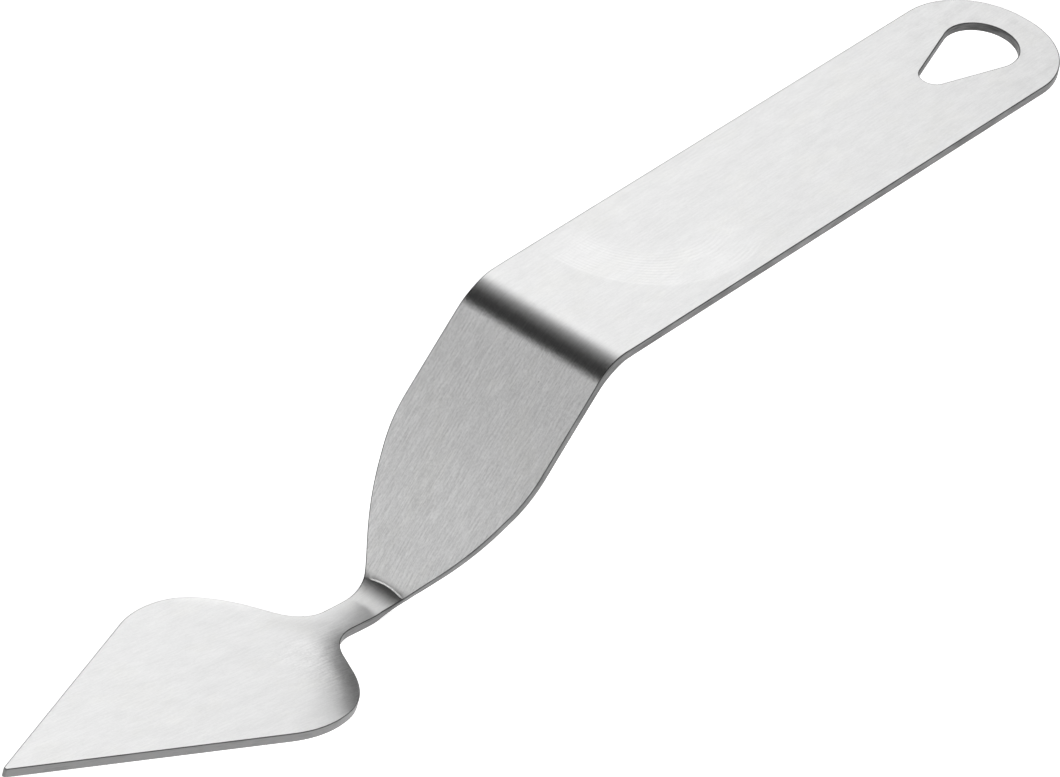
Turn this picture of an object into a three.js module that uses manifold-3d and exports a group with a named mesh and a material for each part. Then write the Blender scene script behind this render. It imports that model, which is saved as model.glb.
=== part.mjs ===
// A cranked palette knife, cut and folded from one piece of stainless steel sheet.
//
// The knife is made here the way a press makes it: a flat blank is cut to its outline,
// the blank is folded across its width, and the hanging hole is punched through the handle.
// Lengths along the blank are measured on its upper face, from the tip of the blade.
// Units are millimetres, +Z is up, and +X runs from the blade's tip to the handle's end.

import * as THREE from 'three';
import { mergeVertices } from 'three/addons/utils/BufferGeometryUtils.js';
import Module from 'manifold-3d';

// Driving dimensions
const SHEET = 1.2;
const HANDLE_WIDTH = 22;
const BLANK_LENGTH = 211.1;
const ARC_STEPS = 8;
const COLUMNS = 2;

// Corners of the half outline: distance from the tip, half width there, and rounding radius.
// The corner between two straight stretches is named for the place it rounds.
const CORNERS = [
  { place: 'tip', along: 0, half: 0.25, radius: 0.25 },
  { place: 'front shoulder', along: 43.4, half: 15.7, radius: 18.5 },
  { place: 'rear shoulder', along: 54.1, half: 13.2, radius: 13 },
  { place: 'notch', along: 60.6, half: 2.2, radius: 6.6 },
  { place: 'neck', along: 71.7, half: 2.3, radius: 7 },
  { place: 'shank', along: 81.8, half: 8.1, radius: 44 },
  { place: 'shank top', along: 91.3, half: HANDLE_WIDTH / 2, radius: 23.3 },
  { place: 'handle end', along: BLANK_LENGTH, half: HANDLE_WIDTH / 2, radius: 10.6 },
];

// Folds, from the blade to the handle: where each is centred, how far it turns the sheet
// upwards, and the radius of the upper face. The handle is level while the sheet is folded.
const FOLDS = [
  { place: 'neck rise', centre: 64.15, turn: 4.5, radius: 108 },
  { place: 'crease', centre: 71.6, turn: 54.6, radius: 5.4 },
  { place: 'main bend', centre: 110.95, turn: -49.1, radius: 7.45 },
];
const FOLD_STEPS = 14;

// Hanging hole: a teardrop, narrow towards the blade
const HOLE_NARROW = { along: 191.2, radius: 1.9 };
const HOLE_WIDE = { along: 201.5, radius: 5 };

const steel = new THREE.MeshStandardMaterial({ color: 0xcfcfcd, roughness: 0.32, metalness: 1 });

// Round one corner: an arc of the corner's radius, tangent to the stretches on both sides.
function addRoundedCorner(path, before, corner, after) {
  const here = new THREE.Vector2(corner.along, corner.half);
  const back = new THREE.Vector2(before.along, before.half).sub(here).normalize();
  const ahead = new THREE.Vector2(after.along, after.half).sub(here).normalize();
  const halfAngle = Math.acos(back.dot(ahead)) / 2;
  const middle = back.clone().add(ahead).normalize();
  const centre = here.clone().addScaledVector(middle, corner.radius / Math.sin(halfAngle));
  const reach = corner.radius / Math.tan(halfAngle);
  const start = here.clone().addScaledVector(back, reach).sub(centre);
  const end = here.clone().addScaledVector(ahead, reach).sub(centre);
  const clockwise = start.cross(end) < 0;
  path.absarc(centre.x, centre.y, corner.radius, start.angle(), end.angle(), clockwise);
}

// The half outline of the blank as points (distance from the tip, half width).
function halfOutline() {
  const path = new THREE.Path();
  path.moveTo(0, 0);
  CORNERS.forEach((corner, i) => {
    const before = CORNERS[i - 1] ?? { along: 0, half: 0 };
    const after = CORNERS[i + 1] ?? { along: BLANK_LENGTH, half: 0 };
    addRoundedCorner(path, before, corner, after);
  });
  return path.getPoints(ARC_STEPS).slice(1);
}

// The half width of the outline at a distance along the blank.
function halfWidthAt(outline, along) {
  const next = outline.findIndex((point) => point.x >= along);
  if (next <= 0) return outline[0].y;
  const from = outline[next - 1];
  const to = outline[next];
  return THREE.MathUtils.mapLinear(along, from.x, to.x, from.y, to.y);
}

// The folded upper face as a chain of straight runs and arcs, each with its start and heading.
function foldedProfile() {
  const runs = [];
  const totalTurn = FOLDS.reduce((sum, fold) => sum + fold.turn, 0);
  let at = { along: 0, x: 0, z: 0, heading: THREE.MathUtils.degToRad(-totalTurn) };
  const addRun = (length, turn) => {
    const run = { ...at, length, bend: turn / length };
    runs.push(run);
    const end = pointOnRun(run, length);
    at = { along: at.along + length, x: end.x, z: end.z, heading: end.heading };
  };
  for (const fold of FOLDS) {
    const turn = THREE.MathUtils.degToRad(fold.turn);
    const arcLength = Math.abs(turn) * fold.radius;
    addRun(fold.centre - arcLength / 2 - at.along, 0);
    addRun(arcLength, turn);
  }
  addRun(BLANK_LENGTH - at.along, 0);
  return runs;
}

// The place and heading at a distance into a run.
function pointOnRun(run, distance) {
  const heading = run.heading + run.bend * distance;
  if (run.bend === 0) {
    const x = run.x + distance * Math.cos(heading);
    const z = run.z + distance * Math.sin(heading);
    return { x, z, heading };
  }
  const x = run.x + (Math.sin(heading) - Math.sin(run.heading)) / run.bend;
  const z = run.z - (Math.cos(heading) - Math.cos(run.heading)) / run.bend;
  return { x, z, heading };
}

// The place and heading at a distance from the tip.
function pointOnProfile(runs, along) {
  const run = runs.findLast((candidate) => candidate.along <= along) ?? runs[0];
  return pointOnRun(run, along - run.along);
}

// Every distance from the tip that needs a row of vertices: the outline's points and the folds.
function rowDistances(outline, runs) {
  const rows = outline.map((point) => point.x);
  for (const run of runs) {
    const steps = run.bend === 0 ? 1 : FOLD_STEPS;
    for (let i = 0; i < steps; i += 1) rows.push(run.along + (run.length * i) / steps);
  }
  rows.sort((a, b) => a - b);
  return rows.filter((row, i) => i === 0 || row - rows[i - 1] > 0.01);
}

// The blank as a box whose rows take the outline's width and are then laid along the profile.
function foldedBlank(outline, runs) {
  const rows = rowDistances(outline, runs);
  const geometry = new THREE.BoxGeometry(1, 1, 1, rows.length - 1, COLUMNS, 1);
  const position = geometry.attributes.position;
  for (let i = 0; i < position.count; i += 1) {
    const row = rows[Math.round((position.getX(i) + 0.5) * (rows.length - 1))];
    const across = 2 * position.getY(i) * halfWidthAt(outline, row);
    const depth = position.getZ(i) > 0 ? 0 : SHEET;
    const on = pointOnProfile(runs, row);
    const x = on.x + depth * Math.sin(on.heading);
    const z = on.z - depth * Math.cos(on.heading);
    position.setXYZ(i, x, across, z);
  }
  return geometry;
}

// The punch for the hanging hole: two circles joined by their common tangents.
function holePunch(runs) {
  const spacing = HOLE_WIDE.along - HOLE_NARROW.along;
  const tangent = Math.acos((HOLE_NARROW.radius - HOLE_WIDE.radius) / spacing);
  const shape = new THREE.Shape();
  shape.absarc(0, 0, HOLE_NARROW.radius, tangent, -tangent, false);
  shape.absarc(spacing, 0, HOLE_WIDE.radius, -tangent, tangent, false);
  shape.closePath();
  const geometry = new THREE.ExtrudeGeometry(shape, {
    depth: 3 * SHEET,
    bevelEnabled: false,
    curveSegments: 32,
  });
  const narrow = pointOnProfile(runs, HOLE_NARROW.along);
  return geometry.translate(narrow.x, 0, narrow.z - 2 * SHEET);
}

// The tilt at which the heel, outside the crease, and the handle's end touch one level surface.
function restingTilt(runs) {
  const crease = FOLDS.find((fold) => fold.place === 'crease');
  const start = pointOnProfile(runs, crease.centre);
  const centreX = start.x - crease.radius * Math.sin(start.heading);
  const centreZ = start.z + crease.radius * Math.cos(start.heading);
  const end = pointOnProfile(runs, BLANK_LENGTH);
  const runX = end.x - centreX;
  const runZ = end.z - SHEET - centreZ;
  const heelRadius = crease.radius + SHEET;
  return Math.atan2(runZ, runX) + Math.asin(heelRadius / Math.hypot(runX, runZ));
}

const wasm = await Module();
wasm.setup();

function toManifold(geometry) {
  geometry.deleteAttribute('normal');
  geometry.deleteAttribute('uv');
  const welded = mergeVertices(geometry, 1e-5);
  const vertProperties = new Float32Array(welded.attributes.position.array);
  const triVerts = new Uint32Array(welded.index.array);
  return new wasm.Manifold(new wasm.Mesh({ numProp: 3, vertProperties, triVerts }));
}

function toGeometry(solid) {
  const mesh = solid.getMesh();
  const geometry = new THREE.BufferGeometry();
  geometry.setAttribute('position', new THREE.BufferAttribute(mesh.vertProperties, 3));
  geometry.setIndex(new THREE.BufferAttribute(mesh.triVerts, 1));
  const faceted = geometry.toNonIndexed();
  faceted.computeVertexNormals();
  return faceted;
}

const outline = halfOutline();
const runs = foldedProfile();
const blank = toManifold(foldedBlank(outline, runs));
const punched = blank.subtract(toManifold(holePunch(runs)));

const knife = new THREE.Mesh(toGeometry(punched), steel);
knife.name = 'knife_body';
knife.rotation.y = restingTilt(runs);

// The knife lies on its heel and its handle's end, centred over the origin.
const group = new THREE.Group();
group.add(knife);
group.updateMatrixWorld(true);
const bounds = new THREE.Box3().setFromObject(knife, true);
const middle = bounds.getCenter(new THREE.Vector3());
knife.position.set(-middle.x, -middle.y, -bounds.min.z);

export default group;
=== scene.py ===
"""A cranked palette knife, cut and folded from one strip of stainless steel sheet."""

import math

import bmesh
import bpy
import numpy as np
from bpy.props import FloatProperty, FloatVectorProperty, PointerProperty
from bpy.types import Operator, Panel, PropertyGroup
from mathutils import Matrix, Vector


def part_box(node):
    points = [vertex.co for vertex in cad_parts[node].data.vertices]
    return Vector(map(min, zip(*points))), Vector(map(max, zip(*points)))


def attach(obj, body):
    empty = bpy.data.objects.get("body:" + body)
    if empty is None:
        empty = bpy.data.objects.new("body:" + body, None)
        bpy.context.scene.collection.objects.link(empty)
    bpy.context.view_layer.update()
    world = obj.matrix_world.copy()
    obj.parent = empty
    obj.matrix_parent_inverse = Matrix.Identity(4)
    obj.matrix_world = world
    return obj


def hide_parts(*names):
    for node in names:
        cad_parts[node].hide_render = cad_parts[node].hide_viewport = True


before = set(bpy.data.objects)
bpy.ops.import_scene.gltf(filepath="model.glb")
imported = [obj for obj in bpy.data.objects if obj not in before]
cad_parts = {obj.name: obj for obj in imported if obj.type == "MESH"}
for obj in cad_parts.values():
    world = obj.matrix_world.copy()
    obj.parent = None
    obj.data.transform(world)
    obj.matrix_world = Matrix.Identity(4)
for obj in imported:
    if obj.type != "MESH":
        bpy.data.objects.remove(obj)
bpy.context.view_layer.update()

bl_info = {
    "name": "Cranked palette knife",
    "version": (1, 0, 0),
    "blender": (4, 5, 0),
    "location": "View3D > Sidebar > Palette Knife",
    "description": "Builds a palette knife folded from one steel strip, with its studio",
    "category": "Add Mesh",
}

CAD_NODE = "knife_body"
MM = 0.001

# A curvature per metre below which a path is straight.
STRAIGHT = 1e-9


# ---------------------------------------------------------------- sizes and colours


class KnifeBlank(PropertyGroup):
    """The flat blank. A corner is its distance from the tip, its half width, and its rounding radius.

    Left is towards +Y and right towards -Y, as they are for someone who looks from the tip.
    """

    sheet: FloatProperty(
        name="Sheet thickness", description="Thickness of the steel", default=1.2 * MM, unit="LENGTH"
    )
    tip: FloatVectorProperty(
        name="Tip", description="Corner at the blade's tip",
        default=(0, 0.25 * MM, 0.25 * MM), unit="LENGTH",
    )
    front_shoulder: FloatVectorProperty(
        name="Front shoulder", description="Corner where the blade is widest",
        default=(43.4 * MM, 15.7 * MM, 18.5 * MM), unit="LENGTH",
    )
    rear_shoulder: FloatVectorProperty(
        name="Rear shoulder", description="Corner where the blade turns in to the neck",
        default=(54.1 * MM, 13.2 * MM, 13 * MM), unit="LENGTH",
    )
    notch: FloatVectorProperty(
        name="Notch", description="Inner corner between blade and neck",
        default=(60.6 * MM, 2.2 * MM, 6.6 * MM), unit="LENGTH",
    )
    neck: FloatVectorProperty(
        name="Neck", description="Inner corner between neck and shank",
        default=(71.7 * MM, 2.3 * MM, 7 * MM), unit="LENGTH",
    )
    shank: FloatVectorProperty(
        name="Shank", description="Corner halfway up the shank",
        default=(81.8 * MM, 8.1 * MM, 44 * MM), unit="LENGTH",
    )
    shank_top: FloatVectorProperty(
        name="Shank top", description="Corner where the shank reaches the handle's width",
        default=(91.3 * MM, 11 * MM, 23.3 * MM), unit="LENGTH",
    )
    handle_end: FloatVectorProperty(
        name="Handle end", description="Corner at the handle's round end",
        default=(211.1 * MM, 11 * MM, 10.6 * MM), unit="LENGTH",
    )
    hole_narrow: FloatVectorProperty(
        name="Hole, narrow end", description="Distance from the tip and radius",
        size=2, default=(191.2 * MM, 1.9 * MM), unit="LENGTH",
    )
    hole_wide: FloatVectorProperty(
        name="Hole, wide end", description="Distance from the tip and radius",
        size=2, default=(201.5 * MM, 5 * MM), unit="LENGTH",
    )
    arris: FloatProperty(
        name="Arris", description="Rounding of the sheared edges", default=0.1 * MM, unit="LENGTH"
    )


class KnifeFolds(PropertyGroup):
    """The folds across the blank: distance from the tip, upward turn, and radius of the upper face."""

    rise_at: FloatProperty(
        name="Neck rise at", description="Middle of the neck's rise", default=64.15 * MM, unit="LENGTH"
    )
    rise_turn: FloatProperty(
        name="Neck rise", description="Turn of the neck's rise",
        default=math.radians(4.5), subtype="ANGLE",
    )
    rise_radius: FloatProperty(
        name="Neck rise radius", description="Radius of the neck's rise", default=108 * MM, unit="LENGTH"
    )
    crease_at: FloatProperty(
        name="Crease at", description="Middle of the crease", default=71.6 * MM, unit="LENGTH"
    )
    crease_turn: FloatProperty(
        name="Crease", description="Turn of the crease", default=math.radians(54.6), subtype="ANGLE"
    )
    crease_radius: FloatProperty(
        name="Crease radius", description="Radius inside the crease", default=5.4 * MM, unit="LENGTH"
    )
    bend_at: FloatProperty(
        name="Main bend at", description="Middle of the main bend", default=110.95 * MM, unit="LENGTH"
    )
    bend_turn: FloatProperty(
        name="Main bend", description="Turn of the main bend",
        default=math.radians(-49.1), subtype="ANGLE",
    )
    bend_radius: FloatProperty(
        name="Main bend radius", description="Radius outside the main bend",
        default=7.45 * MM, unit="LENGTH",
    )


class PressMarks(PropertyGroup):
    """What cutting and folding leave on the sheet."""

    roll_slope: FloatProperty(
        name="Roll slope", description="Downward slope of the blade's rear rim", default=0.2, min=0, max=1
    )
    neck_roll_slope: FloatProperty(
        name="Neck roll slope", description="Downward slope of the neck's rim", default=0.1, min=0, max=1
    )
    roll_width: FloatProperty(
        name="Roll width", description="How far in from the blade's rear rim the roll reaches",
        default=3.5 * MM, unit="LENGTH",
    )
    neck_roll_width: FloatProperty(
        name="Neck roll width", description="How far in from the neck's rim the roll reaches",
        default=2.3 * MM, unit="LENGTH",
    )
    shank_roll_slope: FloatProperty(
        name="Shank roll slope", description="Downward slope of the shank's right rim",
        default=0.05, min=0, max=1,
    )
    punch_press: FloatProperty(
        name="Punch press", description="How deep the punch's edge is pressed in above the crease",
        default=0.3 * MM, unit="LENGTH",
    )
    punch_step: FloatProperty(
        name="Punch step", description="Height of the step at the punch's edge",
        default=0.05 * MM, unit="LENGTH",
    )
    punch_lip: FloatProperty(
        name="Punch lip", description="Height of the lip beyond the punch's edge",
        default=0.03 * MM, unit="LENGTH",
    )
    punch_reach: FloatProperty(
        name="Punch reach", description="Length over which the punch presses the crease",
        default=3.3 * MM, unit="LENGTH",
    )
    punch_at: FloatProperty(
        name="Punch edge at", description="Distance of the punch's edge from the tip",
        default=73.5 * MM, unit="LENGTH",
    )
    punch_bow: FloatProperty(
        name="Punch edge bow", description="How far that edge bows towards the handle",
        default=0.25 * MM, unit="LENGTH",
    )
    shank_bow: FloatProperty(
        name="Shank bow", description="How far the shank bows upwards", default=0.2 * MM, unit="LENGTH"
    )
    bulge: FloatProperty(
        name="Fold bulge", description="How far the sheet's inner side swells at the ends of a fold",
        default=0.12 * MM, unit="LENGTH",
    )


class SteelFinish(PropertyGroup):
    """Colours and polish of the steel."""

    face_colour: FloatVectorProperty(
        name="Face", description="Colour of the brushed faces", subtype="COLOR",
        size=3, default=(0.72, 0.72, 0.72), min=0, max=1,
    )
    # Partly painted shade: the edge colour is set far below bare steel's, so that edges reflecting the
    # bright floor still come out dark; the rest is the cut's real dullness.
    dull_and_shaded_edge_colour: FloatVectorProperty(
        name="Edge", description="Colour of the sheared edges", subtype="COLOR",
        size=3, default=(0.2, 0.2, 0.2), min=0, max=1,
    )
    roughness: FloatProperty(
        name="Roughness", description="Roughness of the brushed faces", default=0.29, min=0, max=1
    )
    grain: FloatProperty(
        name="Grain", description="Strength of the brushed grain", default=0.5, min=0, max=1
    )


class KnifeStudio(PropertyGroup):
    """Floor, lights and camera."""

    floor_colour: FloatVectorProperty(
        name="Floor", description="Colour of the floor", subtype="COLOR",
        size=3, default=(0.93, 0.93, 0.93), min=0, max=1,
    )
    floor_glow: FloatProperty(
        name="Floor glow", description="Light that comes up through the white table", default=0.8, min=0
    )
    azimuth: FloatProperty(
        name="Azimuth", description="Camera's place round the knife",
        default=math.radians(-49.762), subtype="ANGLE",
    )
    elevation: FloatProperty(
        name="Elevation", description="Camera's height above the horizon",
        default=math.radians(47.038), subtype="ANGLE",
    )
    roll: FloatProperty(
        name="Roll", description="Turn of the camera about its view",
        default=math.radians(-0.643), subtype="ANGLE",
    )
    distance: FloatProperty(
        name="Distance", description="From the camera to the point it looks at",
        default=1.1907, unit="LENGTH",
    )
    target: FloatVectorProperty(
        name="Target", description="Point that the camera looks at",
        default=(-0.00272, -0.00068, 0.015), unit="LENGTH",
    )
    lens: FloatProperty(
        name="Lens", description="Focal length in millimetres", default=328.25, min=1, max=2000
    )


# ---------------------------------------------------------------- chains of runs and arcs

# How many points of the profile are read to find its box.
PROFILE_SAMPLES = 2000


class Chain:
    """A path of straight runs and arcs, each tangent to the last.

    A run of length l and turn t starts at p with heading h. At distance d into it the heading is
    h + t d / l. On a straight run the point is p + d (cos h, sin h). On an arc of curvature k = t / l
    it is p + ((sin h' - sin h) / k, (cos h - cos h') / k), where h' is the heading there.
    """

    def __init__(self, start, heading, runs):
        lengths, turns = np.array(runs, float).T
        self.starts = np.r_[0, np.cumsum(lengths)]
        self.headings = heading + np.r_[0, np.cumsum(turns)][:-1]
        self.curvatures = turns / lengths
        self.corners = np.zeros((len(lengths), 2))
        self.corners[0] = start
        for i in range(1, len(lengths)):
            self.corners[i] = self._on_run(i - 1, lengths[i - 1])[0]

    @property
    def length(self):
        """Length of the whole path."""
        return self.starts[-1]

    def _on_run(self, run, distance):
        """Points and headings at distances into runs, by the formula above."""
        begin = self.headings[run]
        curvature = self.curvatures[run]
        bent = np.abs(curvature) > STRAIGHT
        safe = np.where(bent, curvature, 1)
        heading = begin + curvature * distance
        across = np.where(bent, (np.sin(heading) - np.sin(begin)) / safe, distance * np.cos(begin))
        up = np.where(bent, (np.cos(begin) - np.cos(heading)) / safe, distance * np.sin(begin))
        return self.corners[run] + np.stack([across, up], -1), heading

    def at(self, distance):
        """Points and headings at an array of distances."""
        distance = np.asarray(distance, float)
        run = np.clip(np.searchsorted(self.starts, distance, "right") - 1, 0, len(self.headings) - 1)
        return self._on_run(run, distance - self.starts[run])


def corner_chain(corners, start, heading):
    """The chain through a list of rounded corners (x, y, radius), from start to the last corner.

    A corner of radius r that turns by t takes r tan(t / 2) off the straight runs on its two sides.
    """
    points = np.array([start] + [corner[:2] for corner in corners], float)
    steps = np.diff(points, axis=0)
    lengths = np.hypot(*steps.T)
    directions = np.arctan2(steps[:, 1], steps[:, 0])
    turns = np.diff(directions)
    radii = np.array([corner[2] for corner in corners[:-1]])
    reach = radii * np.tan(np.abs(turns) / 2)
    straight = lengths - np.r_[0, reach] - np.r_[reach, 0]
    runs = []
    for i, turn in enumerate(turns):
        runs.append((straight[i], 0))
        runs.append((radii[i] * abs(turn), turn))
    runs.append((straight[-1], 0))
    return Chain(start, heading, runs)


def half_outline(blank):
    """The blank's outline on one side, from the middle of the tip to the middle of the handle's end."""
    names = (
        "tip", "front_shoulder", "rear_shoulder", "notch", "neck", "shank", "shank_top", "handle_end",
    )
    corners = [tuple(getattr(blank, name)) for name in names]
    end = (blank.handle_end[0], 0, 0)
    return corner_chain(corners + [end], (0, 0), math.pi / 2)


def folded_profile(blank, folds):
    """The upper face seen from the side, from the tip to the handle's end, with the handle level."""
    marks = [
        (folds.rise_at, folds.rise_turn, folds.rise_radius),
        (folds.crease_at, folds.crease_turn, folds.crease_radius),
        (folds.bend_at, folds.bend_turn, folds.bend_radius),
    ]
    runs = []
    reached = 0
    for middle, turn, radius in marks:
        arc = abs(turn) * radius
        runs.append((middle - arc / 2 - reached, 0))
        runs.append((arc, turn))
        reached = middle + arc / 2
    runs.append((blank.handle_end[0] - reached, 0))
    return Chain((0, 0), -sum(turn for _, turn, _ in marks), runs)


class FoldedSheet:
    """Lays points of the blank (along, across, depth) out in space.

    The point of the profile at `along` has place p and heading h; a depth d below the upper face
    moves it by d (sin h, -cos h). The whole is then turned by the resting tilt about Y, so that the
    heel and the handle's end touch the floor, and moved to the middle of the CAD node's box, on its
    underside.
    """

    def __init__(self, blank, folds):
        self.profile = folded_profile(blank, folds)
        self.sheet = blank.sheet
        crease, heading = self.profile.at(folds.crease_at)
        centre = crease + folds.crease_radius * np.array([-np.sin(heading), np.cos(heading)])
        end, _ = self.profile.at(self.profile.length)
        run = end + (0, -self.sheet) - centre
        heel_radius = folds.crease_radius + self.sheet
        self.tilt = math.atan2(run[1], run[0]) + math.asin(heel_radius / math.hypot(*run))
        self.move = np.zeros(3)
        rows = np.linspace(0, self.profile.length, PROFILE_SAMPLES)
        upper = self.place(rows, 0 * rows, 0 * rows)
        lower = self.place(rows, 0 * rows, self.sheet + 0 * rows)
        faces = np.r_[upper, lower]
        low, high = faces.min(0), faces.max(0)
        box_low, box_high = (np.array(corner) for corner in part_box(CAD_NODE))
        self.move = (box_low + box_high) / 2 - (low + high) / 2
        self.move[1] = (box_low[1] + box_high[1]) / 2
        self.move[2] = box_low[2] - low[2]

    def place(self, along, across, depth):
        """Points in space for arrays of (along, across, depth)."""
        point, heading = self.profile.at(along)
        x = point[..., 0] + depth * np.sin(heading)
        z = point[..., 1] - depth * np.cos(heading)
        turned_x = x * math.cos(self.tilt) + z * math.sin(self.tilt)
        turned_z = z * math.cos(self.tilt) - x * math.sin(self.tilt)
        return np.stack([turned_x, across, turned_z], -1) + self.move


# ---------------------------------------------------------------- the strip's surface


def smoothstep(low, high, value):
    """0 below low, 1 above high, and 3 t^2 - 2 t^3 between, with t the share of the way."""
    t = np.clip((value - low) / (high - low), 0, 1)
    return t * t * (3 - 2 * t)


# Material slots of the brushed faces and of the sheared edge.
FACE, EDGE = 0, 1

# How finely the skin is divided: across the strip, over an arris, down the sheared edge, and from
# the outline in to the hole.
COLUMNS = 44
ARRIS_STEPS = 4
WALL_STEPS = 6
HOLE_RINGS = 10

# How far before the hole its rings begin, how wide the narrow band of face beside an arris is, and
# how close two points are to be one.
HOLE_MARGIN = 3.5 * MM
SUPPORT = 0.04 * MM
WELD = 0.0005 * MM

# How many points the outline is read at to space its stations, to know its width and to measure
# how far off it is, and in how many blocks the last is done, to save memory.
STATION_SAMPLES = 60000
WIDTH_SAMPLES = 8000
RIM_SAMPLES = 6000
NEAREST_BLOCKS = 40

# The UV maps are in centimetres.
UV_PER_METRE = 100


def outline_stations(outline, folds, marks):
    """Distances along the half outline, closer together on its arcs and where the sheet folds.

    Stations lie at equal steps of the integral of 1 / spacing, from the end of the tip's flat to
    the start of the handle end's flat. The spacing at a place is the finest that any line below
    asks for.
    """
    fine = np.linspace(outline.starts[1], outline.starts[-2], STATION_SAMPLES)
    point, heading = outline.at(fine)
    along = point[:, 0]
    radius = 1 / np.maximum(np.abs(np.gradient(heading, fine)), STRAIGHT)
    spacing = np.full_like(fine, 1.2 * MM)
    for here, finer in (
        (radius < 100 * MM, 0.3 * MM),
        (radius < 1 * MM, 0.04 * MM),
        ((along > folds.rise_at - 6 * MM) & (along < folds.crease_at), 0.3 * MM),
        (np.abs(along - folds.bend_at) < 4 * MM, 0.14 * MM),
        (np.abs(along - folds.crease_at) < 3.4 * MM, 0.1 * MM),
        (np.abs(along - marks.punch_at + 0.1 * MM) < 0.5 * MM, 0.03 * MM),
    ):
        spacing = np.where(here, np.minimum(spacing, finer), spacing)
    steps = np.r_[0, np.cumsum(np.diff(fine) * 2 / (spacing[1:] + spacing[:-1]))]
    return np.interp(np.linspace(0, steps[-1], int(steps[-1]) + 1), steps, fine)


def edge_profile(blank):
    """(inset, depth) from the upper face over its arris, down the sheared edge, to the lower face."""
    arris, sheet = blank.arris, blank.sheet
    turn = np.linspace(0, math.pi / 2, ARRIS_STEPS + 1)
    upper = np.c_[arris - arris * np.sin(turn), arris - arris * np.cos(turn)]
    wall = np.linspace(arris, sheet - arris, WALL_STEPS + 1)[1:-1]
    lower = np.c_[upper[::-1, 0], sheet - upper[::-1, 1]]
    inset = arris + SUPPORT
    return np.r_[[[inset, 0]], upper, np.c_[0 * wall, wall], lower, [[inset, sheet]]]


def hole_loop(blank, bearings):
    """Points and outward normals of the teardrop, at bearings from its wide end's centre.

    Two circles are joined by their common tangents, so the normal turns only on the circles. The
    teardrop is sampled by its normal's bearing, and then read at the bearings asked for.
    """
    (narrow, narrow_r), (wide, wide_r) = blank.hole_narrow, blank.hole_wide
    tangent = math.pi - math.acos((wide_r - narrow_r) / (wide - narrow))
    wide_turn = np.linspace(-tangent, tangent, 1201)
    narrow_turn = np.linspace(tangent, 2 * math.pi - tangent, 401)
    turn = np.r_[wide_turn, narrow_turn]
    on_wide = np.arange(len(turn)) < len(wide_turn)
    x = np.where(on_wide, wide, narrow) + np.where(on_wide, wide_r, narrow_r) * np.cos(turn)
    y = np.where(on_wide, wide_r, narrow_r) * np.sin(turn)
    seen = np.unwrap(np.arctan2(y, x - wide))
    asked = seen[0] + np.mod(bearings - seen[0], 2 * math.pi)
    x, y, turn = (np.interp(asked, seen, value) for value in (x, y, turn))
    return np.stack([x, y], -1), np.stack([np.cos(turn), np.sin(turn)], -1)


class Skin:
    """Grids of (along, across, depth, run) and the quads between their rows and columns."""

    def __init__(self):
        self.points = []
        self.faces = []
        self.kinds = []
        self.count = 0

    def add(self, grid, kind, flip=False):
        """Adds a grid's points and quads, and turns the quads over when `flip` is set."""
        rows, columns = grid.shape[:2]
        index = self.count + np.arange(rows * columns).reshape(rows, columns)
        quads = np.stack([index[:-1, :-1], index[:-1, 1:], index[1:, 1:], index[1:, :-1]], -1)
        quads = quads.reshape(-1, 4)
        self.points.append(grid.reshape(-1, 4))
        self.faces.append(quads[:, ::-1] if flip else quads)
        self.kinds.append(np.full(len(quads), kind))
        self.count += rows * columns

    def add_edge(self, loop, outward, profile, flip=False):
        """Carries the edge profile round a closed loop, moving in from it against `outward`."""
        loop, outward = np.r_[loop, loop[:1]], np.r_[outward, outward[:1]]
        run = np.r_[0, np.cumsum(np.hypot(*np.diff(loop, axis=0).T))]
        rings = []
        for inset, depth in profile:
            moved = loop - outward * inset
            rings.append(np.c_[moved, np.full(len(run), depth), run])
        self.add(np.stack(rings), EDGE, flip)

    def add_faces(self, grid, sheet, flip=False):
        """Adds a grid of (along, across) as a patch of the upper face and of the lower face."""
        for depth, turned in ((0, flip), (sheet, not flip)):
            plain = np.full(grid.shape[:2], depth)
            self.add(np.dstack([grid, plain, 0 * plain]), FACE, turned)


def strip_skin(blank, folds, marks):
    """The whole strip's skin on the flat blank.

    Rows run across both faces between the two sides of the inset outline. Round the hole the rows
    give way to rings, each a blend of that part of the outline and the teardrop. The edge profile
    is carried round the outline and round the hole.
    """
    outline = half_outline(blank)
    side, heading = outline.at(outline_stations(outline, folds, marks))
    outward = np.stack([-np.sin(heading), np.cos(heading)], -1)
    profile = edge_profile(blank)
    inset = profile[0, 0]
    share = np.linspace(1, -1, COLUMNS + 1)
    mirror = np.array([1, -1])
    ahead = np.tile([1.0, 0.0], (COLUMNS - 1, 1))

    def row(ends):
        """Points across the strip between a point and its mirror image."""
        return np.stack([ends[..., :1] + 0 * share, ends[..., 1:] * share], -1)

    skin = Skin()
    loop = np.r_[side, row(side[-1])[1:-1], (side * mirror)[::-1], row(side[0])[::-1][1:-1]]
    loop_outward = np.r_[outward, ahead, (outward * mirror)[::-1], -ahead]
    skin.add_edge(loop, loop_outward, profile)

    inner = side - outward * inset
    narrow, narrow_r = blank.hole_narrow
    first = int(np.searchsorted(side[:, 0], narrow - narrow_r - HOLE_MARGIN))
    skin.add_faces(row(inner[: first + 1]), blank.sheet)

    beyond = inner[first:]
    ends = [row(beyond[-1])[1:-1], row(beyond[0])[::-1][1:-1]]
    around = np.r_[beyond, ends[0], (beyond * mirror)[::-1], ends[1]]
    bearings = np.arctan2(around[:, 1], around[:, 0] - blank.hole_wide[0])
    hole, hole_outward = hole_loop(blank, bearings)
    share_in = np.linspace(0, 1, HOLE_RINGS + 1)[:, None, None]
    rim = hole + hole_outward * inset
    rings = around * (1 - share_in) + rim * share_in
    rings = np.concatenate([rings, rings[:, :1]], 1)
    skin.add_faces(rings, blank.sheet, flip=True)
    skin.add_edge(hole, -hole_outward, profile, flip=True)
    return skin, outline


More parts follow.
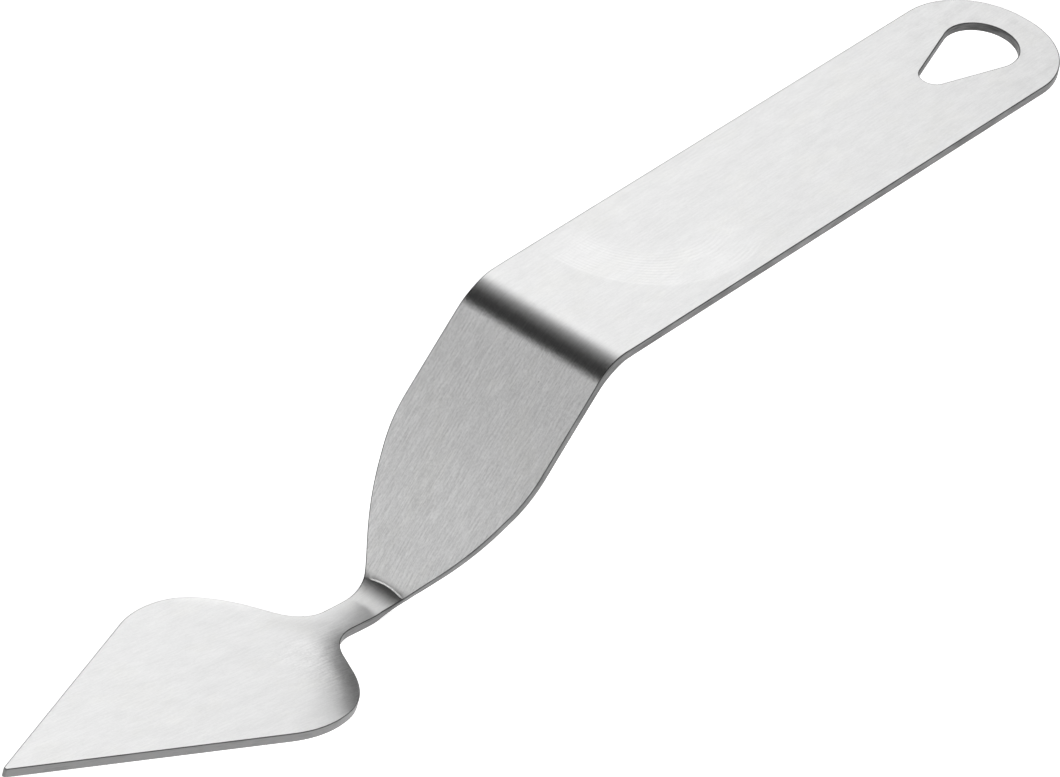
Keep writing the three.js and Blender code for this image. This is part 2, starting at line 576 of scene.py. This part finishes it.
def half_at(outline, along):
    """The half width of the blank at distances from the tip, and never less than 0.2 mm."""
    fine, _ = outline.at(np.linspace(outline.starts[1], outline.starts[-2], WIDTH_SAMPLES))
    return np.maximum(np.interp(along, fine[:, 0], fine[:, 1]), 0.2 * MM)


def nearest_gap(spots, line):
    """Distance from each spot to the nearest point of a line, taken in blocks to save memory."""
    nearest = np.full(len(spots), np.inf)
    for block in np.array_split(line, NEAREST_BLOCKS):
        gaps = np.hypot(*(spots[:, None] - block).transpose(2, 0, 1))
        nearest = np.minimum(nearest, gaps.min(1))
    return nearest


def rim_roll(along, across, outline, blank, folds, marks):
    """How far the blanking has rolled the rim down.

    At a distance a from the rim the slope is s (1 - a / w)^1.4 as far as the width w, so the drop is
    s w / 2.4 (1 - a / w)^2.4. The two sides add up. The roll begins on the blade's rear lobes,
    narrows round the notch, ends before the crease, and goes on up the shank, where its left side
    is half as steep as its right.
    """
    power = 2.4
    line, _ = outline.at(np.linspace(outline.starts[1], outline.starts[-2], RIM_SAMPLES))
    line = line[(line[:, 0] > blank.front_shoulder[0] - 5 * MM) & (line[:, 0] < folds.bend_at)]

    lobe = blank.rear_shoulder[0] + 2 * MM
    before_crease = folds.crease_at - 2.6 * MM
    neck_width = marks.neck_roll_width
    width = np.interp(
        along,
        (lobe, blank.notch[0], folds.rise_at, before_crease),
        (marks.roll_width, neck_width, neck_width, 1.3 * neck_width),
    )
    slope = np.interp(along, (blank.notch[0], folds.rise_at), (marks.roll_slope, marks.neck_roll_slope))
    begin = smoothstep(blank.front_shoulder[0] + 3.2 * MM, blank.rear_shoulder[0] + 1.4 * MM, along)
    finish = smoothstep(folds.crease_at - 3.2 * MM, folds.crease_at - 0.8 * MM, along)
    slope = slope * begin * (1 - finish)

    shank_begin = smoothstep(marks.punch_at, marks.punch_at + 2 * MM, along)
    shank_finish = smoothstep(blank.shank_top[0] - 6 * MM, folds.bend_at - 4 * MM, along)
    shank_slope = marks.shank_roll_slope * shank_begin * (1 - shank_finish)

    drop = np.zeros_like(along)
    near = slope + shank_slope > 0
    spots = np.stack([along, across], -1)[near]
    left, right = line, line * (1, -1)
    for side, shank_share in ((left, 0.5), (right, 1)):
        share = np.clip(1 - nearest_gap(spots, side) / width[near], 0, 1)
        steepest = (slope + shank_slope * shank_share)[near]
        drop[near] += steepest * width[near] / power * share**power
    return drop


def punch_mark(along, across, half, marks):
    """How far the punch has pressed the upper face down at the crease.

    With u the distance past the punch's bowed edge, the press deepens as ((u + l) / l)^1.4 over the
    length l before the edge. A step and a lip at the edge take back part of it, except at the strip's
    sides. The rest fades as exp(-u / m), and is gone some way up the shank. The lip fades faster.
    """
    middle = -0.3 * MM
    bow_width = 2 * MM
    ramp_length = 0.18 * MM
    press_fade = 4.5 * MM
    lip_fade = 0.45 * MM

    off_middle = across - middle
    aside = smoothstep(0.66, 0.86, np.abs(off_middle) / half)
    edge = marks.punch_at - marks.punch_bow * (off_middle / bow_width) ** 2
    past = along - edge
    deepest = marks.punch_press - 0.4 * marks.punch_step * aside
    pressed = deepest * np.clip(past / marks.punch_reach + 1, 0, 1) ** 1.4
    ramp = (1 - aside) * np.clip(past / ramp_length + 0.5, 0, 1)
    beyond = np.maximum(past, 0)
    rest = (pressed - marks.punch_step * ramp) * np.exp(-beyond / press_fade)
    lip = marks.punch_lip * ramp * np.exp(-beyond / lip_fade)
    return rest * (1 - smoothstep(12 * MM, 18 * MM, past)) - lip


def formed(points, outline, blank, folds, marks):
    """Moves points of the blank (along, across, depth) as the press and the folding do.

    - Rim roll and punch mark, as given above. The punch doesn't reach the lower face.
    - Shank bow: the shank rises by b (1 - t^2)^2, with t from -1 to 1 between crease and main bend.
    - Bulge: the inner side of a fold grows wider and the outer side narrower, by b exp(-(a / r)^2) at
      a distance a from the fold's middle, and mostly at the rims.
    """
    bend_reach = 2.6 * MM
    crease_reach = 2.0 * MM
    along, across, depth = points[:, 0], points[:, 1], points[:, 2]
    half = half_at(outline, along)
    upper = 1 - depth / blank.sheet
    drop = rim_roll(along, across, outline, blank, folds, marks)
    drop += punch_mark(along, across, half, marks) * upper

    t = np.clip((along - folds.crease_at) / (folds.bend_at - folds.crease_at) * 2 - 1, -1, 1)
    drop -= marks.shank_bow * (1 - t * t) ** 2

    lower_side = 1 - 2 * upper
    at_bend = np.exp(-(((along - folds.bend_at) / bend_reach) ** 2))
    at_crease = np.exp(-(((along - folds.crease_at) / crease_reach) ** 2))
    swell = marks.bulge * lower_side * (at_bend - at_crease)
    toward_side = np.clip(np.abs(across) / half, 0, 1) ** 6
    return along, across + np.sign(across) * swell * toward_side, depth + drop


def mesh_from_skin(name, skin, outline, blank, folds, marks):
    """Lays the skin out in space, welds its grids, and keeps the blank's and the rim's coordinates.

    UV map "blank" holds (along, across) and UV map "rim" holds (run round the edge, depth), both in
    centimetres.
    """
    points = np.concatenate(skin.points)
    faces = np.concatenate(skin.faces)
    sheet = FoldedSheet(blank, folds)
    placed = sheet.place(*formed(points, outline, blank, folds, marks))
    mesh = bpy.data.meshes.new(name)
    mesh.from_pydata(placed.tolist(), [], faces.tolist())
    corner = faces.ravel()
    for layer, columns in (("blank", (0, 1)), ("rim", (3, 2))):
        uv = mesh.uv_layers.new(name=layer)
        places = points[corner][:, columns] * UV_PER_METRE
        uv.data.foreach_set("uv", places.astype(np.float32).ravel())
    mesh.polygons.foreach_set("material_index", np.concatenate(skin.kinds))
    mesh.polygons.foreach_set("use_smooth", np.ones(len(faces), bool))
    bm = bmesh.new()
    bm.from_mesh(mesh)
    bmesh.ops.remove_doubles(bm, verts=bm.verts, dist=WELD)
    open_edges = sum(1 for edge in bm.edges if len(edge.link_faces) != 2)
    if open_edges:
        raise RuntimeError(f"{name} has {open_edges} open edges")
    bm.to_mesh(mesh)
    bm.free()
    mesh.update()
    return mesh


# ---------------------------------------------------------------- materials

# Stretches of the blank that have their own finish, in centimetres from the tip or from its middle
# line: ((where it begins, where it is full), (where it starts to end, where it is gone)).
SCUFFED_STRETCH = ((4.6, 5.6), (6.2, 7))
NECK_STRETCH = ((5.4, 6.1), (7.2, 7.5))
SHANK_STRETCH = ((7.3, 7.5), (10.8, 11.2))
HOLE_STRETCH = ((18.7, 18.75), (20.75, 20.8))
HOLE_SIDES = ((-0.7, -0.6), (0.6, 0.7))

# The round brush's mark, in centimetres: its middle and radius, the pitch of its arcs, and where it
# fades along the handle and towards the left.
BRUSH_MIDDLE = (13.89, 0.78, 0)
BRUSH_RADIUS = 1.66
ARC_PITCH = 0.057
BRUSH_FADE_ALONG = (13.9, 15)
BRUSH_FADE_LEFT = (0.6, 1)


class NodeTree:
    """Short calls for adding and joining shader nodes."""

    def __init__(self, tree):
        self.tree = tree
        tree.nodes.clear()

    def add(self, kind, inputs=None, **settings):
        """A new node with its settings made and its inputs filled."""
        node = self.tree.nodes.new("ShaderNode" + kind)
        for key, value in settings.items():
            setattr(node, key, value)
        for key, value in (inputs or {}).items():
            self.put(node.inputs[key], value)
        return node

    def put(self, socket, value):
        """Links a socket to another, or sets its number."""
        if isinstance(value, bpy.types.NodeSocket):
            self.tree.links.new(value, socket)
        else:
            socket.default_value = value

    def math(self, operation, *values):
        """The result of a Math node on its inputs in order."""
        node = self.add("Math", operation=operation)
        for socket, value in zip(node.inputs, values):
            self.put(socket, value)
        return node.outputs[0]

    def scaled(self, vector, scale, offset=(0, 0, 0)):
        """The vector times scale, plus offset."""
        node = self.add("Mapping", {"Vector": vector, "Scale": scale, "Location": offset})
        return node.outputs[0]

    def noise(self, vector, scale, detail=2.0, roughness=0.5, offset=(0, 0, 0)):
        """Noise stretched by scale, from 0 to 1 with a middle of 0.5."""
        stretched = self.scaled(vector, scale, offset)
        node = self.add(
            "TexNoise", {"Vector": stretched, "Scale": 1.0, "Detail": detail, "Roughness": roughness}
        )
        return node.outputs["Fac"]

    def mapped(self, value, low, high, to_low, to_high):
        """The value taken smoothly from the range low..high to the range to_low..to_high."""
        ranges = {"From Min": low, "From Max": high, "To Min": to_low, "To Max": to_high}
        node = self.add("MapRange", {"Value": value, **ranges}, interpolation_type="SMOOTHSTEP")
        return node.outputs[0]

    def mix_colour(self, share, first, second, **settings):
        """A blend of two colours; the Mix node's colour sockets are numbers 6 and 7."""
        node = self.add("Mix", {0: share, 6: first, 7: second}, data_type="RGBA", **settings)
        return node.outputs[2]


def new_material(name):
    """A new material and its emptied node tree."""
    material = bpy.data.materials.new(name)
    material.use_nodes = True
    return material, NodeTree(material.node_tree)


def shaded(colour, share):
    """The colour times share, at most white, with its alpha."""
    return tuple(min(1, share * c) for c in colour) + (1,)


def buffed_patch(nodes, blank):
    """A round brush's mark on the handle: a pale ring sector, and the fine arcs within it.

    Both follow d, the distance from the brush's middle on the flat blank, in centimetres. The ring
    rises towards its radius and stops sharply there. The arcs go as sin(2 pi d / pitch).
    """
    away = nodes.add("VectorMath", {0: blank, 1: BRUSH_MIDDLE}, operation="SUBTRACT").outputs[0]
    reach = nodes.add("VectorMath", {0: away}, operation="LENGTH").outputs["Value"]
    rise = (BRUSH_RADIUS - 0.9, BRUSH_RADIUS - 0.35)
    stop = (BRUSH_RADIUS, BRUSH_RADIUS + 0.07)
    along, across, _ = nodes.add("SeparateXYZ", {0: blank}).outputs
    sector = nodes.math(
        "MULTIPLY",
        nodes.mapped(along, *BRUSH_FADE_ALONG, 1, 0),
        nodes.mapped(across, *BRUSH_FADE_LEFT, 1, 0),
    )
    patches = nodes.noise(blank, (2.2, 2.2, 1), detail=2, offset=(7, 1, 0))
    patchy = nodes.mapped(patches, 0.38, 0.6, 0, 1)
    ring = nodes.math("MULTIPLY", between(nodes, reach, rise, stop), sector)
    arcs = nodes.math("SINE", nodes.math("MULTIPLY", reach, 2 * math.pi / ARC_PITCH))
    arcs = nodes.math("MULTIPLY", nodes.math("MULTIPLY", arcs, patchy), ring)
    return ring, arcs


def pits(nodes, blank):
    """Sparse dark pits, about 0.2 mm across: one cell in seven or so holds one."""
    cells = nodes.add("TexVoronoi", {"Vector": blank, "Scale": 2.0, "Randomness": 1.0})
    dot = nodes.mapped(cells.outputs["Distance"], 0.012, 0.032, 1, 0)
    chosen = nodes.add("SeparateColor", {0: cells.outputs["Color"]}).outputs[0]
    return nodes.math("MULTIPLY", dot, nodes.mapped(chosen, 0.86, 0.88, 0, 1))


def between(nodes, value, starts, ends):
    """1 from starts[1] to ends[0], and 0 outside starts[0] and ends[1]."""
    begun = nodes.mapped(value, *starts, 0, 1)
    not_ended = nodes.mapped(value, *ends, 1, 0)
    return nodes.math("MULTIPLY", begun, not_ended)


def brushed_steel(finish):
    """Steel ground along the strip: fine grain, soft clouds, stains, pits and a buffed patch.

    The grain is coarse on the shank and on the right of the blade's root. The neck is dull, and the
    handle is blotched at its end. The patterns add up to a share between a darker and a paler steel.
    """
    material, nodes = new_material("brushed_steel")
    blank = nodes.add("UVMap", uv_map="blank").outputs[0]
    along, across, _ = nodes.add("SeparateXYZ", {0: blank}).outputs

    lines = nodes.noise(blank, (3.5, 40, 1), detail=3, roughness=0.7)
    specks = nodes.noise(blank, (24, 34, 1), detail=2, roughness=0.7)
    grain = nodes.math(
        "ADD", nodes.mapped(lines, 0.3, 0.7, -0.5, 0.5), nodes.mapped(specks, 0.3, 0.7, -0.32, 0.32)
    )
    coarse = nodes.math("MULTIPLY_ADD", between(nodes, along, *SHANK_STRETCH), 0.42, 0.16)
    right_of_root = nodes.mapped(across, -0.5, 0.2, 0.4, 0)
    scuffed = nodes.math("MULTIPLY", between(nodes, along, *SCUFFED_STRETCH), right_of_root)
    grain = nodes.math("MULTIPLY", grain, nodes.math("ADD", coarse, scuffed))

    clouds = nodes.noise(blank, (2.0, 4.5, 1), detail=4, roughness=0.6, offset=(3, 5, 0))
    bands = nodes.noise(blank, (0.35, 9, 1), detail=2, offset=(1, 2, 0))
    spots = nodes.noise(blank, (3, 5, 1), detail=4, roughness=0.6, offset=(5, 8, 0))
    at_end = nodes.mapped(along, 18.5, 20.5, 0, 1)
    blotches = nodes.math("MULTIPLY", nodes.mapped(spots, 0.45, 0.7, 0, 1), at_end)
    ring, arcs = buffed_patch(nodes, blank)
    dots = pits(nodes, blank)

    # Clouds and bands have a middle of 0.5, so half their weights is taken off first.
    even_weights = ((clouds, 0.38), (bands, 0.14))
    share = 0.5 - sum(weight for _, weight in even_weights) / 2
    patterns = (
        (grain, 1), *even_weights,
        (blotches, -0.2), (ring, 0.14), (arcs, 0.1), (dots, -1.5),
    )
    for pattern, weight in patterns:
        share = nodes.math("MULTIPLY_ADD", pattern, weight, share)
    colour = nodes.mix_colour(share, shaded(finish.face_colour, 0.8), shaded(finish.face_colour, 1.2))
    stain = nodes.noise(blank, (0.9, 1.5, 1), detail=4, roughness=0.6, offset=(9, 4, 0))
    stained = nodes.mapped(stain, 0.5, 0.62, 0, 0.4)
    colour = nodes.mix_colour(stained, colour, (1, 0.998, 0.98, 1), blend_type="MULTIPLY")

    height = nodes.math("MULTIPLY_ADD", dots, -1.5, grain)
    height = nodes.math("MULTIPLY_ADD", arcs, 0.06, height)
    bump = nodes.add("Bump", {"Strength": finish.grain, "Distance": 0.02 * MM, "Height": height})
    dull = between(nodes, along, *NECK_STRETCH)
    roughness = nodes.math("MULTIPLY_ADD", dull, 0.09, finish.roughness)
    tangent = nodes.add("Tangent", direction_type="UV_MAP", uv_map="blank").outputs[0]
    shader = nodes.add(
        "BsdfPrincipled",
        {"Base Color": colour, "Metallic": 1.0, "Roughness": roughness,
         "Anisotropic": 0.6, "Anisotropic Rotation": 0.25,
         "Normal": bump.outputs[0], "Tangent": tangent},
    )
    nodes.add("OutputMaterial", {"Surface": shader.outputs[0]})
    return material


def sheared_steel(finish):
    """Sheared edge: duller steel with drag streaks along the cut, paler on the blade, darker in the hole,
    and darkened all round by painted shade.
    """
    material, nodes = new_material("sheared_steel")
    rim = nodes.add("UVMap", uv_map="rim").outputs[0]
    streaks = nodes.noise(rim, (3, 70, 1), detail=3, roughness=0.6)
    blotches = nodes.noise(rim, (2.5, 8, 1), detail=2, offset=(1, 2, 0))
    light = nodes.math("MULTIPLY", nodes.math("ADD", streaks, blotches), 0.5)
    blank = nodes.add("UVMap", uv_map="blank").outputs[0]
    along, across, _ = nodes.add("SeparateXYZ", {0: blank}).outputs
    in_hole = nodes.math(
        "MULTIPLY", between(nodes, along, *HOLE_STRETCH), between(nodes, across, *HOLE_SIDES)
    )
    on_blade = nodes.mapped(along, 5, 6, 0.4, 0)
    share = nodes.math("MULTIPLY_ADD", in_hole, -0.32, nodes.mapped(light, 0.3, 0.7, 0.35, 1))
    share = nodes.math("ADD", share, on_blade)
    # Painted shade: both ends of this blend are far darker than bare steel, which darkens the edges beyond
    # what their dull finish does.
    colour = nodes.mix_colour(share, shaded(finish.dull_and_shaded_edge_colour, 0.2), shaded(finish.dull_and_shaded_edge_colour, 1.3))
    bump = nodes.add("Bump", {"Strength": 0.5, "Distance": 0.03 * MM, "Height": light})
    shader = nodes.add(
        "BsdfPrincipled",
        {"Base Color": colour, "Metallic": 1.0, "Roughness": 0.45, "Normal": bump.outputs[0]},
    )
    nodes.add("OutputMaterial", {"Surface": shader.outputs[0]})
    return material


# ---------------------------------------------------------------- operators


class PALETTE_KNIFE_OT_strip(Operator):
    """Cut and fold the knife from its strip of steel"""

    bl_idname = "palette_knife.strip"
    bl_label = "Make the knife"

    def execute(self, context):
        scene = context.scene
        blank, folds, marks = scene.knife_blank, scene.knife_folds, scene.knife_marks
        skin, outline = strip_skin(blank, folds, marks)
        mesh = mesh_from_skin("folded_strip", skin, outline, blank, folds, marks)
        mesh.materials.append(brushed_steel(scene.knife_finish))
        mesh.materials.append(sheared_steel(scene.knife_finish))
        piece = bpy.data.objects.new("folded_strip", mesh)
        context.collection.objects.link(piece)
        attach(piece, "root")
        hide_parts(CAD_NODE)
        return {"FINISHED"}


def direction(azimuth, elevation):
    """The unit vector towards an azimuth and elevation; azimuth 0 is towards -Y and 90 towards +X."""
    level = math.cos(elevation)
    return Vector((math.sin(azimuth) * level, -math.cos(azimuth) * level, math.sin(elevation)))


def softbox(name, azimuth, elevation, distance, width, height, radiance, **seen):
    """A rectangular lamp that faces the knife, placed by its azimuth and elevation in degrees.

    Its power is radiance times area times pi.
    """
    lamp = bpy.data.lights.new(name, "AREA")
    lamp.shape = "RECTANGLE"
    lamp.size, lamp.size_y = width, height
    lamp.energy = radiance * width * height * math.pi
    box = bpy.data.objects.new(name, lamp)
    away = direction(math.radians(azimuth), math.radians(elevation))
    box.location = away * distance
    box.rotation_mode = "QUATERNION"
    box.rotation_quaternion = (-away).to_track_quat("-Z", "Y")
    box.visible_camera = False
    for key, value in seen.items():
        setattr(box, "visible_" + key, value)
    bpy.context.collection.objects.link(box)
    return box


# Name, azimuth and elevation in degrees, width and height in metres, and radiance.
SOFTBOXES = (
    ("back_softbox", 136, 23, 1.12, 1.25, 1.31),
    ("side_softbox", -128, 42, 0.6, 0.5, 0.98),
    ("low_softbox", -116, 26, 0.4, 0.3, 2.2),
    ("front_softbox", -32, 35, 1.6, 0.9, 0.9),
    ("top_softbox", 88, 68, 0.5, 0.4, 0.6),
)
SOFTBOX_DISTANCE = 1.2
FLOOR_RADIUS = 4
FLOOR_SIDES = 96
ROOM_GREY = 0.025


class PALETTE_KNIFE_OT_stage(Operator):
    """Lay the floor, hang the lights and place the camera"""

    bl_idname = "palette_knife.stage"
    bl_label = "Make the studio"

    def execute(self, context):
        studio = context.scene.knife_studio
        self.lay_floor(context, studio)
        self.fill_room(context)
        for name, azimuth, elevation, width, height, radiance in SOFTBOXES:
            softbox(name, azimuth, elevation, SOFTBOX_DISTANCE, width, height, radiance)
        # A broad lamp overhead lights the paper, and the steel doesn't reflect it.
        softbox("floor_light", 0, 90, 1.5, 2.4, 2.4, 0.3, glossy=False)
        self.place_camera(context, studio)
        context.scene.view_settings.view_transform = "Standard"
        return {"FINISHED"}

    def lay_floor(self, context, studio):
        """A round sheet of white paper, lit a little from below."""
        turn = np.linspace(0, 2 * math.pi, FLOOR_SIDES + 1)[:-1]
        ring = np.stack([np.cos(turn), np.sin(turn), 0 * turn], -1) * FLOOR_RADIUS
        mesh = bpy.data.meshes.new("floor")
        mesh.from_pydata(ring.tolist(), [], [list(range(len(turn)))])
        material, nodes = new_material("floor_paper")
        shader = nodes.add(
            "BsdfPrincipled",
            {"Base Color": (*studio.floor_colour, 1), "Roughness": 0.9,
             "Emission Color": (1, 1, 1, 1), "Emission Strength": studio.floor_glow},
        )
        nodes.add("OutputMaterial", {"Surface": shader.outputs[0]})
        mesh.materials.append(material)
        floor = bpy.data.objects.new("floor", mesh)
        context.collection.objects.link(floor)

    def fill_room(self, context):
        """A dim room for the steel to reflect, behind a backdrop that is seen as white."""
        world = bpy.data.worlds.new("studio_room")
        world.use_nodes = True
        nodes = NodeTree(world.node_tree)
        seen = nodes.add("LightPath").outputs["Is Camera Ray"]
        colour = nodes.mix_colour(seen, (ROOM_GREY, ROOM_GREY, ROOM_GREY, 1), (1, 1, 1, 1))
        background = nodes.add("Background", {"Color": colour, "Strength": 1.0})
        nodes.add("OutputWorld", {"Surface": background.outputs[0]})
        context.scene.world = world

    def place_camera(self, context, studio):
        """The camera, aimed at its target and then rolled about its view."""
        lens = bpy.data.cameras.new("camera")
        lens.lens = studio.lens
        lens.sensor_width = 36
        lens.clip_start, lens.clip_end = 0.01, 100
        camera = bpy.data.objects.new("camera", lens)
        back = direction(studio.azimuth, studio.elevation)
        camera.location = Vector(studio.target) + back * studio.distance
        level = (-back).to_track_quat("-Z", "Y")
        camera.rotation_mode = "QUATERNION"
        camera.rotation_quaternion = level @ Matrix.Rotation(studio.roll, 3, "Z").to_quaternion()
        context.collection.objects.link(camera)
        context.scene.camera = camera


class PALETTE_KNIFE_PT_panel(Panel):
    """Sizes, marks, finish and studio, with a button for each piece"""

    bl_label = "Palette knife"
    bl_idname = "PALETTE_KNIFE_PT_panel"
    bl_space_type = "VIEW_3D"
    bl_region_type = "UI"
    bl_category = "Palette Knife"

    def draw(self, context):
        for operator in OPERATORS:
            self.layout.operator(operator.bl_idname)
        for name, group in GROUPS.items():
            box = self.layout.box()
            box.label(text=group.__name__)
            for key in group.__annotations__:
                box.prop(getattr(context.scene, name), key)


GROUPS = {
    "knife_blank": KnifeBlank,
    "knife_folds": KnifeFolds,
    "knife_marks": PressMarks,
    "knife_finish": SteelFinish,
    "knife_studio": KnifeStudio,
}
OPERATORS = (PALETTE_KNIFE_OT_strip, PALETTE_KNIFE_OT_stage)


def register():
    for group in GROUPS.values():
        bpy.utils.register_class(group)
    for name, group in GROUPS.items():
        setattr(bpy.types.Scene, name, PointerProperty(type=group))
    for item in (*OPERATORS, PALETTE_KNIFE_PT_panel):
        bpy.utils.register_class(item)


def unregister():
    for item in (PALETTE_KNIFE_PT_panel, *reversed(OPERATORS)):
        bpy.utils.unregister_class(item)
    for name in GROUPS:
        delattr(bpy.types.Scene, name)
    for group in reversed(list(GROUPS.values())):
        bpy.utils.unregister_class(group)


def main():
    register()
    bpy.ops.palette_knife.strip()
    bpy.ops.palette_knife.stage()


if __name__ == "__main__":
    main()
